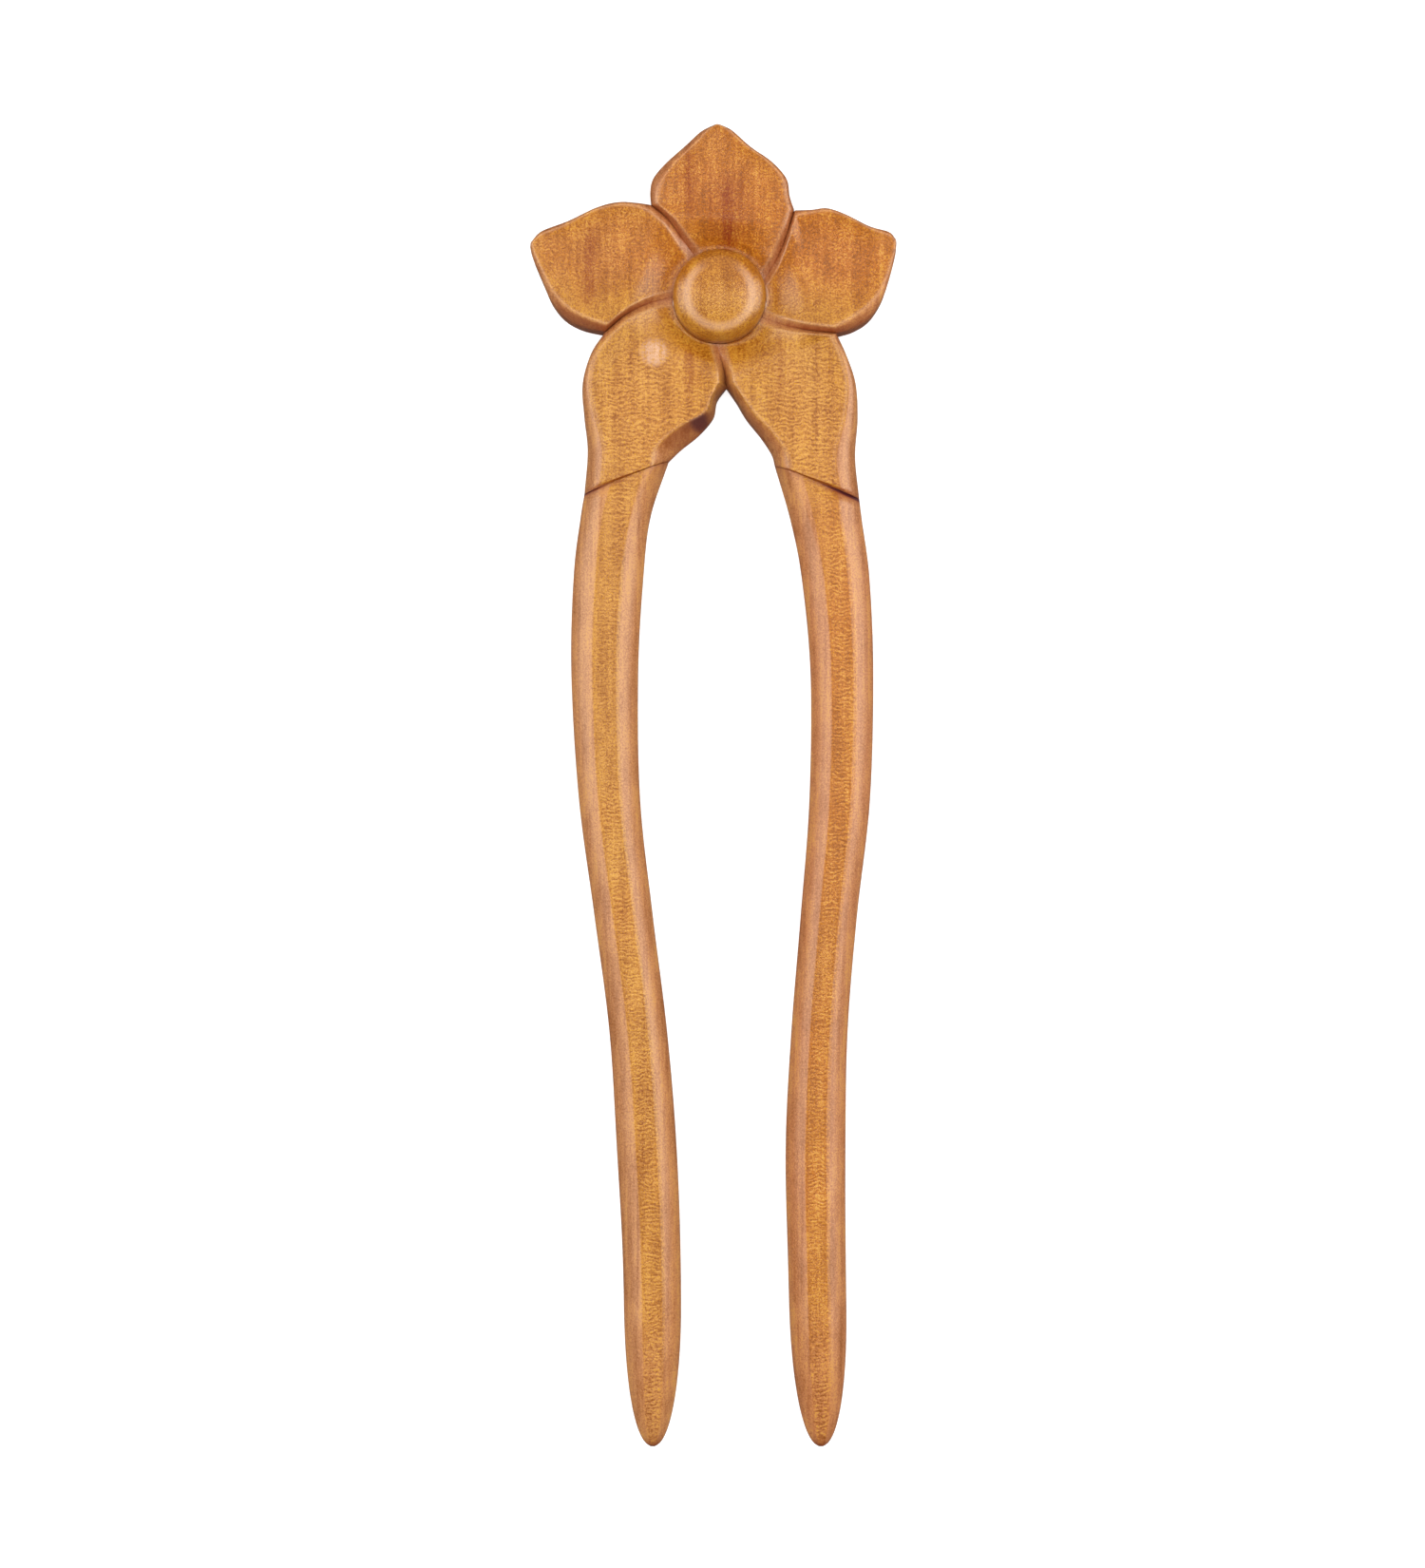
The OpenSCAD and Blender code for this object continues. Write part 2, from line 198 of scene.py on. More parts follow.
EDGES = {
    "top, left side": edge(
        "top left",
        (-8.9, 13.5, 1.2, 1.8), (-8.5, 15.2, 1.4, 2.0), (-6.9, 17.1, 1.3, 1.8),
        (-4.3, 19.4, 1.1, 1.6), (-2.4, 21.1, 0.9, 1.4), (-0.6, 22, 0.7, 1.2),
    ),
    "top, right side": edge(
        "top right",
        (9.0, 12.8, 0.6, 1.0), (8.6, 15.0, 0.6, 1.0), (6.7, 17.2, 0.6, 1.0),
        (4.0, 19.1, 0.6, 1.0), (1.6, 21.2, 0.6, 1.0), (0.0, 22, 0.7, 1.2),
    ),
    "upper left, high side": edge(
        "top left",
        (-10.6, 11.9, 0.5, 0.9), (-13.0, 12.0, 0.5, 0.9), (-15.8, 11.3, 0.5, 0.9),
        (-19.4, 9.6, 0.6, 1.0), (-22.8, 8.3, 0.7, 1.1), (-24.2, 6.9, 0.8, 1.2),
    ),
    "upper left, low side": edge(
        "left",
        (-17.7, -3.9, 1.3, 2.6), (-19.9, -2.7, 1.3, 2.3), (-21.5, -0.8, 1.1, 1.8),
        (-22.6, 1.6, 0.9, 1.4), (-23.9, 4.7, 0.8, 1.2), (-24.3, 6.2, 0.8, 1.2),
    ),
    "upper right, high side": edge(
        "top right",
        (11.8, 11.0, 0.4, 0.8), (13.8, 11.2, 0.4, 0.8), (16.2, 10.4, 0.4, 0.8),
        (19.2, 8.9, 0.4, 0.8), (21.7, 8.2, 0.6, 1.0), (22.6, 7.3, 0.7, 1.1),
    ),
    "upper right, low side": edge(
        "right",
        (17.3, -4.1, 1.4, 2.0), (19.3, -2.8, 1.5, 1.9), (20.8, -0.6, 1.1, 1.5),
        (21.7, 1.9, 0.8, 1.2), (22.5, 5.0, 0.6, 1.0), (22.7, 6.6, 0.7, 1.1),
    ),
    "lower left, outer side": edge(
        "left",
        (-16.5, -7.4, 0.8, 1.3), (-17.6, -11.3, 1.1, 1.6),
        (-17.4, -15.5, 1.7, 2.3), (-17.0, -19.8, 2.2, 3.0),
        end=notch_end(LEFT_ROOT, -1, 2.4),
    ),
    "lower left, inner side": edge(
        "crotch",
        (-0.3, -13.2, 0.8, 3.4), (-0.8, -15.4, 1.3, 3.4),
        (-2.6, -17.6, 3.2, 4.0), (-5.0, -19.6, 3.3, 4.0),
        end=notch_end(LEFT_ROOT, 1, 2.3),
    ),
    "lower right, outer side": edge(
        "right",
        (16.3, -7.6, 0.9, 1.3), (17.5, -11.2, 1.3, 1.7),
        (17.8, -15.5, 2.0, 2.3), (17.5, -20.5, 2.8, 3.0),
        end=notch_end(RIGHT_ROOT, 1, 3.0),
    ),
    "lower right, inner side": edge(
        "crotch",
        (2.2, -13.4, 1.0, 3.2), (3.5, -15.6, 1.3, 2.8),
        (5.3, -17.9, 1.7, 2.8), (6.7, -20.1, 2.0, 3.0),
        end=notch_end(RIGHT_ROOT, -1, 2.2),
    ),
}
print(len(EDGES), "free edges")

# %% [markdown]
# ## What a rail is
#
# A petal or a prong is stretched between two rails, its left and right side. At each
# share of the way down, a rail says where the side is, how high the surface stands
# there, and how wide and deep the front and the back are rounded off.

# %% Rails of the petals and sheaths
ROOT_HEIGHT = 5.4  # height of the petals at the boss
BACK_ROUND = 0.8
SIDE_FLAT = 0.15  # half the height of the narrow flat along a prong's side
MID = PRONG_THICK / 2
NOTCH_STEP = 0.4  # how far a sheath stands above the prong at its notch
NOTCH_REACH = NOTCH_HALF * math.hypot(1, NOTCH_RISE)
GROOVE_STEPS, TIP_STEPS, SHEATH_STEPS = 6, 15, 10
SHEATH_HOLD = 0.3  # share of a sheath that keeps the petal's section
GROOVE_FACET = 0.9


class Side:
    """One side of a blade at one place along it, in millimetres."""

    def __init__(self, place, rim, width, drop, facet, back=(0, BACK_ROUND, 0)):
        self.place, self.rim = place, rim
        self.width, self.drop, self.facet = width, drop, facet
        self.back, self.back_width, self.back_rise = back


def groove_side(points, valley, share, facet):
    deep = GROOVE_DEPTH * ease(0.4 + share)
    return Side(
        along(points, share).xy,
        blend(ROOT_HEIGHT, RIM, ease(share * 1.2)),
        blend(GROOVE_WIDTH, valley[2], share * share),
        blend(deep, valley[3], share * share),
        blend(GROOVE_FACET, facet, share * share),
    )


def petal_rail(groove_name, edge_name, facet=0.3):
    """Down a groove to its valley, then along the free edge to the petal's tip."""
    points, free = GROOVES[groove_name], EDGES[edge_name]
    steps = GROOVE_STEPS + TIP_STEPS

    def at(share):
        step = share * steps
        if step <= GROOVE_STEPS:
            return groove_side(points, free[0], step / GROOVE_STEPS, facet)
        x, y, width, drop = along(free, (step - GROOVE_STEPS) / TIP_STEPS)
        return Side(Vector((x, y)), RIM, width, drop, facet, (0, BACK_ROUND, BACK_ROUND))

    return at


def sheath_rail(groove_name, edge_name, facet):
    """Down a groove, then along a sheath whose section turns into the prong's."""
    points, free = GROOVES[groove_name], EDGES[edge_name]
    steps = GROOVE_STEPS + SHEATH_STEPS

    def at(share):
        step = share * steps
        if step <= GROOVE_STEPS:
            return groove_side(points, free[0], step / GROOVE_STEPS, facet)
        run = (step - GROOVE_STEPS) / SHEATH_STEPS
        x, y, width, drop = along(free, run)
        prong = ease((run - SHEATH_HOLD) / (1 - SHEATH_HOLD))
        rim = blend(RIM, PRONG_THICK + NOTCH_STEP, ease(run))
        back_width = blend(BACK_ROUND, NOTCH_REACH, prong)
        back_rise = blend(BACK_ROUND, MID - SIDE_FLAT, ease(run))
        drop = blend(drop, rim - MID - SIDE_FLAT, prong)
        return Side(Vector((x, y)), rim, width, drop, facet, (0, back_width, back_rise))

    return at


top_left = petal_rail("top left", "top, left side")
valley_share = GROOVE_STEPS / (GROOVE_STEPS + TIP_STEPS)
print("the top petal's valley is at", top_left(valley_share).place)

# %% [markdown]
# ## Carving a blade
#
# Every petal and prong is a grid, bent between its two rails and extruded to the back, so
# one operator makes the carved face and one makes the walls and the back. The columns
# crowd towards the two sides, where the surface turns quickest.
#
# The edge profile mixes a quarter round with a flat facet. A knife leaves a facet with a
# crisp upper line, and sandpaper rounds it, so `facet` says which of the two wins.

# %% Blade surface
HAND = 0.05  # how far the hand wandered off a perfect surface
HAND_PITCH = Vector((0.35, 0.22))  # wanders in a millimetre, across and along the grain


def spread(share):
    return (1 - math.cos(math.pi * share)) / 2


def round_off(distance, width, facet):
    """Share of an edge's drop that is left at a distance from it."""
    near = 1 - min(distance / max(width, 0.01), 1)
    soft = 0.4 * (1 - facet)
    line = near * near / (near + soft + 1e-6) * (1 + soft)
    return blend(1 - math.sqrt(1 - near * near), line, facet)


def front_height(left, right, across, hollow):
    wide = (right.place - left.place).length
    height = blend(left.rim, right.rim, across) - hollow * 4 * across * (1 - across)
    height -= left.drop * round_off(across * wide, left.width, left.facet)
    return height - right.drop * round_off((1 - across) * wide, right.width, right.facet)


def back_height(left, right, across):
    wide = (right.place - left.place).length
    height = blend(left.back, right.back, across)
    height += left.back_rise * round_off(across * wide, left.back_width, 0)
    return height + right.back_rise * round_off((1 - across) * wide, right.back_width, 0)


def hand_carved(place):
    """A slow wander of the surface, the same for neighbours that meet."""
    slow = noise.noise(Vector((*(place * HAND_PITCH), 3)))
    return HAND * (slow - 0.6)


print("half a facet away:", round(round_off(0.5, 1, 0.5), 3))

# %% [markdown]
# Each blade also keeps four numbers for its finish at every spot:
#
# - groove: how near it is to a groove, the ring or a notch: gathered oil and painted shade;
# - rim: how near it is to an edge's crest, paled by handling and lit with a painted
#   highlight;
# - figure: how flat it was cut to the grain, where the curly figure of the wood shows;
# - heart: how near it is to the middle of a petal, where the oil was left longest.

# %% Finish marks
CREST_WIDTH = 0.2
BROAD_BEVEL = 2.4  # from about this width on, a rounded edge has no crest


def groove_mark(from_left, from_right, step):
    """Strongest at the ring, then along the grooves, and gone past the valleys."""
    beside = 0.7 * math.exp(-min(from_left, from_right) / 0.33)
    running = 1 - ease((step - GROOVE_STEPS) / 1.5)
    return max(beside * running, 0.6 * math.exp(-step / 0.4))


def rim_mark(side, distance):
    """Up to 1 on the crest of a narrow or faceted edge, and 0 beside it."""
    off = (distance - side.width) / CREST_WIDTH
    narrow = 1 / (1 + (side.width / BROAD_BEVEL) ** 4)
    return max(narrow, ease(side.facet * 5 - 3)) * math.exp(-off * off)


def between_bevels(left, right, from_left, from_right):
    """1 on the middle of a blade and 0 on its bevels."""
    inside = min(from_left - left.width, from_right - right.width)
    return ease((inside + 0.5) / 0.8)


print(f"a millimetre from a groove its mark is down to {groove_mark(1, 1, 3):.2f}")

# %% [markdown]
# A blade starts as a flat grid with a second layer extruded from it. The first rows of a
# petal are shifted sideways, so that its root follows the circle of the boss.

# %% Blade grid
COLUMNS = 64


def onto_circle(left, right, step, across):
    """Shift that carries the first rows of a petal onto the boss's circle."""
    fade = max(0, 1 - step / (GROOVE_STEPS + 3)) ** 2
    start, end = left(0).place, right(0).place
    turn = start.angle_signed(end)
    a = math.atan2(start.y, start.x) - turn * across
    circle = Vector((math.cos(a), math.sin(a))) * (BOSS_RADIUS + BOSS_GAP)
    return (circle - start.lerp(end, across)) * fade


def open_blade(rows):
    """A closed sheet of two layers, the names of its marks and its front vertices."""
    bm = bmesh.new()
    names = "groove", "rim", "figure", "heart"
    marks = [bm.verts.layers.float.new(name) for name in names]
    bmesh.ops.create_grid(bm, x_segments=COLUMNS, y_segments=rows, size=0.5)
    bmesh.ops.translate(bm, verts=bm.verts, vec=(0.5, 0.5, 0))
    raised = bmesh.ops.extrude_face_region(bm, geom=bm.faces[:], use_keep_orig=True)
    front = {v for v in raised["geom"] if isinstance(v, bmesh.types.BMVert)}
    return bm, marks, front


print(COLUMNS, "columns across each blade")

# %% [markdown]
# Then every vertex goes to its place: across between the two rails, down along them, and
# up to the front or the back. A ring is cut a little deeper round the boss, and the lip
# of a sheath is rounded where it ends at its notch.

# %% Petal mesh
RING_DROP = 0.35
LIP = 0.35
SHEATH_STEP = 1.25  # length of one step along a sheath, in mm


def petal_blade(name, left, right, steps, rows, figure, lip=False):
    bm, (groove_layer, rim_layer, figure_layer, heart_layer), front = open_blade(rows)
    for v in bm.verts:
        across, share = spread(v.co.x), v.co.y
        a, b, step = left(share), right(share), share * steps
        place = a.place.lerp(b.place, across) + onto_circle(left, right, step, across)
        height = back_height(a, b, across)
        if v in front:
            wide = (b.place - a.place).length
            sides = across * wide, (1 - across) * wide
            hollow = CUP * math.sin(math.pi * share**0.7) * (1 - 0.3 * share)
            height = front_height(a, b, across, hollow) + hand_carved(place)
            height -= RING_DROP * (1 - ease(step / 2))
            # oil and painted shade along the grooves and round the ring
            v[groove_layer] = groove_mark(*sides, step)
            if lip:
                from_notch = (steps - step) * SHEATH_STEP
                height -= LIP * round_off(from_notch, LIP, 0)
                # painted shade on the lip's edge above the notch
                v[groove_layer] += 0.6 * math.exp(-from_notch / 0.25)
            v[rim_layer] = rim_mark(a, sides[0]) + rim_mark(b, sides[1])
            v[figure_layer] = figure(step) * between_bevels(a, b, *sides)
            v[heart_layer] = 4 * across * (1 - across) * math.sin(math.pi * share**0.8)
        v.co = (place.x, place.y, height)
    return finish_mesh(name, bm)


print(f"the ring is cut {RING_DROP} mm deeper")

# %% [markdown]
# Every piece ends the same way: normals outwards, millimetres to metres, corners sharper
# than 40 degrees left crisp and everything else shaded smooth.

# %% Finish a mesh
CRISP = math.radians(40)
MERGE = 0.0005  # vertices closer than this become one, in mm


def finish_mesh(name, bm):
    bmesh.ops.remove_doubles(bm, verts=bm.verts, dist=MERGE)
    bmesh.ops.recalc_face_normals(bm, faces=bm.faces)
    bmesh.ops.scale(bm, verts=bm.verts, vec=(MM, MM, MM))
    for face in bm.faces:
        face.smooth = True
    for line in bm.edges:
        line.smooth = len(line.link_faces) == 2 and line.calc_face_angle(0) < CRISP
    mesh = bpy.data.meshes.new(name)
    bm.to_mesh(mesh)
    bm.free()
    piece = bpy.data.objects.new(name, mesh)
    bpy.context.scene.collection.objects.link(piece)
    size = piece.dimensions / MM
    box = f"{size.x:.1f} x {size.y:.1f} x {size.z:.1f} mm"
    print(f"{name}: {len(mesh.polygons)} faces, {box}")
    return piece


print(f"corners over {math.degrees(CRISP):.0f} degrees stay crisp")

# %% [markdown]
# ## The petals
#
# All five are hollowed a little over a millimetre, deepest near the boss, so that the
# rims catch the light and the middles lie in soft shade.

# %% Petals
CUP = 1.3  # depth of the hollow
PETAL_STEPS = GROOVE_STEPS + TIP_STEPS
PETAL_ROWS, SHEATHED_ROWS, PRONG_ROWS = 96, 120, 320
pieces = {}


def petal_figure(step):
    return 0.35


def petal(name, node, left, right):
    rails = petal_rail(*left), petal_rail(*right)
    pieces[node] = petal_blade(name, *rails, PETAL_STEPS, PETAL_ROWS, petal_figure)


petal(
    "carved_top_petal", "petal_top",
    ("top left", "top, left side", 0.6), ("top right", "top, right side"),
)
petal(
    "carved_upper_left_petal", "petal_upper_left",
    ("left", "upper left, low side", 0.5), ("top left", "upper left, high side"),
)
petal(
    "carved_upper_right_petal", "petal_upper_right",
    ("top right", "upper right, high side"), ("right", "upper right, low side", 0.4),
)

# %% [markdown]
# The lower petals differ only in their lower half, where they narrow into sheaths. The
# inner wall of the left one was cut with a single long stroke, so it is nearly flat.

# %% Sheathed petals
SHEATHED_STEPS = GROOVE_STEPS + SHEATH_STEPS


def sheathed_figure(step):
    """Stronger down the petal, where the cut runs flatter to the grain."""
    return 0.4 + 0.6 * ease((step - 4) / 4)


def sheathed_petal(name, node, left, right):
    rails = sheath_rail(*left), sheath_rail(*right)
    blade = *rails, SHEATHED_STEPS, SHEATHED_ROWS, sheathed_figure
    pieces[node] = petal_blade(name, *blade, lip=True)


sheathed_petal(
    "carved_lower_left_petal", "petal_lower_left",
    ("crotch", "lower left, inner side", 0.85), ("left", "lower left, outer side", 0.3),
)
sheathed_petal(
    "carved_lower_right_petal", "petal_lower_right",
    ("right", "lower right, outer side", 0.1), ("crotch", "lower right, inner side", 0.4),
)

# %% [markdown]
# ## The prongs
#
# Each prong bows outwards and comes back, like a very flat S, and its width changes with
# every bend because it was cut by eye. A station gives the share of the way down, the
# centre line's x and the width as a share of the widest.

# %% Prong outlines
TIP_LENGTH = 18.6
BLUNT = 0.6  # width that is left at the very tip
TAPER = 2.2  # 2 would make each tip half an ellipse
END_Y = low.y

LEFT_STATIONS = [
    (0.04, -13.4, 0.98), (0.10, -14.3, 0.98), (0.20, -14.8, 0.94),
    (0.33, -14.2, 0.86), (0.45, -12.4, 0.82), (0.57, -10.5, 0.81),
    (0.69, -9.4, 0.84), (0.82, -8.7, 0.81), (1.00, -8.6, 0.78),
]
RIGHT_STATIONS = [
    (0.04, 13.8, 1.00), (0.10, 15.0, 0.95), (0.20, 15.8, 0.88),
    (0.33, 15.5, 0.85), (0.45, 14.1, 0.79), (0.57, 12.9, 0.79),
    (0.69, 12.4, 0.84), (0.82, 12.6, 0.81), (1.00, 13.1, 0.78),
]


def prong_side(stations, root, way):
    start = notch_end(root, way).xy
    return [start] + [
        Vector((x + way * wide * PRONG_WIDTH / 2, blend(root.y, END_Y, down)))
        for down, x, wide in stations
    ]


def left_near_tip(y):
    """Share of the full width and thickness that is left near the tip."""
    into = max(0, 1 - (y - END_Y) / TIP_LENGTH)
    return max(0, 1 - into**TAPER) ** (1 / TAPER)


print(len(LEFT_STATIONS), "stations on each prong")

# %% [markdown]
# Across, a prong has a gently crowned middle and a broad bevel down each side, planed
# and then sanded until the two lines between them went soft. At the notch the bevels are
# as narrow as the sheath's, and the cut is deepest on the outer side.

# %% Prong sections
BEVEL = 0.7  # width of a bevel, as a share of half the prong
BEVEL_FACET = 0.5
BEVEL_RUN = 14  # how far down from the notch a bevel has its full width
CROWN_RISE = 0.25
CROWDING = 1.25  # above 1 the rows stand closer near the tip
NOTCH_DEPTH = 0.5
NOTCH_RUN = 2.4


def prong_rail(sides, index, bevel, cut):
    start = (sides[0][0] + sides[1][0]) / 2

    def at(share):
        run = 1 - (1 - share) ** CROWDING
        a, b = along(sides[0], run), along(sides[1], run)
        middle = (a + b) / 2
        left_over = left_near_tip((a, b)[index].y)
        reach = max((b - a).length * left_over, BLUNT) / 2
        thick = max(MID * left_over, BLUNT / 2)
        turned = thick - min(SIDE_FLAT, thick / 2)
        gone = (middle - start).length
        sunk = cut * NOTCH_DEPTH * (1 - ease(gone / NOTCH_RUN)) + CROWN_RISE * left_over
        side = Side(
            middle + (b - a).normalized() * reach * (-1, 1)[index],
            MID + thick - sunk,
            blend(bevel, BEVEL * reach, ease(gone / BEVEL_RUN)),
            turned - sunk,
            BEVEL_FACET,
            (MID - thick, reach, turned),
        )
        side.gone, side.crown = gone, CROWN_RISE * left_over
        return side

    return at


print(f"a bevel is {BEVEL * PRONG_WIDTH / 2:.1f} mm wide on the widest prong")

# %% [markdown]
# The notch is marked where it is cut deep, for the oil that dried dark there and the
# painted shade in the cut. The curly figure shows in a narrow band down the flat middle.

# %% Prongs
BAND_MIDDLE, BAND_HALF, BAND_EDGE = 0.52, 0.11, 0.12  # shares of the prong's width


def prong(name, node, stations, root, bevels, cuts):
    sides = [prong_side(stations, root, way) for way in (-1, 1)]
    left, right = (prong_rail(sides, k, bevels[k], cuts[k]) for k in (0, 1))
    bm, (groove_layer, _, figure_layer, _), front = open_blade(PRONG_ROWS)
    for v in bm.verts:
        across, share = spread(v.co.x), v.co.y
        a, b = left(share), right(share)
        place = a.place.lerp(b.place, across)
        height = back_height(a, b, across)
        if v in front:
            height = front_height(a, b, across, -a.crown) + hand_carved(place)
            open_cut = max(0, blend(*cuts, across))
            wide = 0.5 + 0.25 * open_cut
            # oil dried dark in the cut, and painted shade under the sheath's step
            v[groove_layer] = (0.5 + 1.1 * open_cut) * math.exp(-(a.gone / wide) ** 2)
            off = abs(across - BAND_MIDDLE) - BAND_HALF
            v[figure_layer] = 1 - ease(off / BAND_EDGE)
        v.co = (place.x, place.y, height)
    pieces[node] = finish_mesh(name, bm)


prong(
    "carved_left_prong", "prong_left", LEFT_STATIONS, LEFT_ROOT,
    bevels=(2.4, 2.3), cuts=(0.9, -0.8),
)
prong(
    "carved_right_prong", "prong_right", RIGHT_STATIONS, RIGHT_ROOT,
    bevels=(2.2, 3.0), cuts=(-0.8, 1.7),
)

# %% [markdown]
# ## The boss
#
# The boss is a low dome with a rounded shoulder, cut as if turned on a lathe. Its profile
# is two arcs that meet smoothly: the crown, and the shoulder that turns down to the wall.
# Spin sweeps that profile round the Z axis.

# %% Boss
BOSS_HEIGHT = 9.6
CROWN, SHOULDER = 12, 2.4  # radii of the two arcs
BOSS_EASE = 0.3  # bevel at the foot of the wall
WALL_STEPS, SHOULDER_STEPS, CROWN_STEPS, TURNS = 12, 16, 40, 144


def boss_profile():
    """Points from the middle of the back, up the wall and over the dome to its top."""
    crown_z = BOSS_HEIGHT - CROWN
    x = BOSS_RADIUS - SHOULDER
    z = crown_z + math.sqrt((CROWN - SHOULDER) ** 2 - x * x)
    meet = math.atan2(z - crown_z, x)
    points = [(0, 0), (BOSS_RADIUS - BOSS_EASE, 0), (BOSS_RADIUS, BOSS_EASE)]
    for k in range(1, WALL_STEPS):
        points.append((BOSS_RADIUS, blend(BOSS_EASE, z, k / WALL_STEPS)))
    for k in range(SHOULDER_STEPS + 1):
        turn = meet * k / SHOULDER_STEPS
        points.append((x + SHOULDER * math.cos(turn), z + SHOULDER * math.sin(turn)))
    for k in range(1, CROWN_STEPS + 1):
        turn = blend(meet, math.pi / 2, k / CROWN_STEPS)
        points.append((CROWN * math.cos(turn), crown_z + CROWN * math.sin(turn)))
    return points


bm = bmesh.new()
chain = [bm.verts.new((x, 0, z)) for x, z in boss_profile()]
strips = [bm.edges.new(pair) for pair in zip(chain, chain[1:])]
bmesh.ops.spin(
    bm, geom=chain + strips, cent=(0, 0, 0), axis=(0, 0, 1),
    angle=math.tau, steps=TURNS, use_merge=True,
)
bmesh.ops.remove_doubles(bm, verts=bm.verts, dist=0.001)
for v in bm.verts:
    if v.co.z > RIM - 2:  # the wall below stays true
        v.co.z += hand_carved(v.co.xy)
pieces["flower_boss"] = finish_mesh("carved_boss", bm)

# %% [markdown]
# ## Shader sums
#
# A wood finish is mostly sums of noise patterns. `Wire` wraps a node's output, so that
# `specks * 0.5 + fibres` in Python adds the Math nodes that work it out.

# %% Wire
class Wire:
    """A node's output that takes part in Python sums."""

    def __init__(self, tree, socket=None):
        self.tree, self.socket = tree, socket

    def node(self, kind, settings=None, inputs=None, output=0):
        """A new node's output: first its settings, then the values or links it takes."""
        made = self.tree.nodes.new("ShaderNode" + kind)
        for key, value in (settings or {}).items():
            setattr(made, key, value)
        for key, value in (inputs or {}).items():
            if isinstance(value, Wire):
                self.tree.links.new(value.socket, made.inputs[key])
            else:
                made.inputs[key].default_value = value
        return Wire(self.tree, made.outputs[output] if made.outputs else None)

    def math(self, operation, *values):
        return self.node("Math", {"operation": operation}, dict(enumerate(values)))

    def mix(self, other, share):
        """This colour with a share of another one."""
        sockets = {0: share, 6: self, 7: other}  # a Mix node's factor and its two colours
        return self.node("Mix", {"data_type": "RGBA"}, sockets, output=2)

    def clamp(self):
        """This number, kept between 0 and 1."""
        return self.node("Clamp", {}, {0: self})

    def __add__(self, other):
        return self.math("ADD", self, other)

    def __radd__(self, other):
        return self.math("ADD", other, self)

    def __sub__(self, other):
        return self.math("SUBTRACT", self, other)

    def __rsub__(self, other):
        return self.math("SUBTRACT", other, self)

    def __mul__(self, other):
        return self.math("MULTIPLY", self, other)

    def __rmul__(self, other):
        return self.math("MULTIPLY", other, self)

    def __truediv__(self, other):
        return self.math("DIVIDE", self, other)

    def __rtruediv__(self, other):
        return self.math("DIVIDE", other, self)


print("Wire:", Wire.__doc__)

# %% [markdown]
# ## Oiled wood
#
# Up close this wood shows six things, and each is one pattern in space, measured in
# millimetres and shared by all the pieces, so that the grain runs through them unbroken:
#
# - slow patches, from honey to orange;
# - a cloudy mottle, a few millimetres across;
# - bands and fine fibres along the grain;
# - specks a quarter of a millimetre across, everywhere;
# - a curly figure, thin wavy lines and short ripples across the grain, where the cut is
#   flat;
# - faces turned towards the tips, darkened with painted shade.

# %% Wood space
NORMAL_OUT, OBJECT_OUT = 1, 3  # outputs of a Texture Coordinate node
wood = bpy.data.materials.new("oiled_wood")
wood.use_nodes = True
wood.node_tree.nodes.clear()
start = Wire(wood.node_tree)
position = start.node("TexCoord", output=OBJECT_OUT)


def stretched(x, y, z, move=(0, 0, 0)):
    """Object coordinates in millimetres, times a factor along each axis."""
    scale = (x / MM, y / MM, z / MM)
    return start.node("Mapping", {}, {"Vector": position, "Scale": scale, "Location": move})


def grain(x, y, z, detail=2.0, rough=0.5, move=(0, 0, 0)):
    """Noise with so many features in a millimetre along each axis."""
    inputs = {"Scale": 1.0, "Detail": detail, "Roughness": rough}
    inputs["Vector"] = stretched(x, y, z, move)
    return start.node("TexNoise", {}, inputs)


def axis(index):
    return start.node("SeparateXYZ", {}, {0: stretched(1, 1, 1)}, output=index)


def fade(value, start_at, end_at):
    """0 below the first value, 1 above the second, smooth between them."""
    inputs = {0: value, 1: start_at, 2: end_at}
    return start.node("MapRange", {"interpolation_type": "SMOOTHSTEP"}, inputs)


x, y = axis(0), axis(1)
print(len(wood.node_tree.nodes), "nodes for the place in the wood")

# %% [markdown]
# Stretching the noise gives each pattern its look: a pattern with few features along Y
# runs with the grain, and one with many lies across it. The curls are a sine wave along Y
# that a second noise bends.

# %% Wood patterns
CURL_TURNS, CURL_WANDER = 10.5, 24.0  # in radians: for each mm, and for the noise
patches = grain(0.10, 0.07, 0.1, detail=2, move=(7, 3, 0))
fibres = grain(2.4, 0.06, 1.2, detail=3)
bands = grain(0.8, 0.05, 0.4, detail=2, move=(8, 2, 6))
specks = grain(4.4, 4.4, 4.4, detail=1, rough=0.7)
wobble = grain(0.3, 0.06, 0.3, detail=2, move=(5, 1, 0)) - 0.5
curl_bend = grain(0.6, 0.5, 0.5, detail=2, move=(2, 9, 4)) - 0.5
curls = start.math("SINE", y * CURL_TURNS + curl_bend * CURL_WANDER) * 0.5 + 0.5
ripples = grain(1.3, 4.2, 1.4, detail=2, move=(3, 3, 3))
mottle = grain(0.3, 0.22, 0.3, detail=4, rough=0.6, move=(4, 4, 1))
facing = start.node("TexCoord", output=NORMAL_OUT)
# how far a face turns towards the tips, for the painted shade there
toward_tips = 0 - start.node("SeparateXYZ", {}, {0: facing}, output=1)
print(len(wood.node_tree.nodes), "nodes with the patterns")

# %% [markdown]
# The streaks stand where the heartwood ran through the board. Each is a soft dark line at
# one x, fading in and out along the grain, and the fibres and specks break it up.

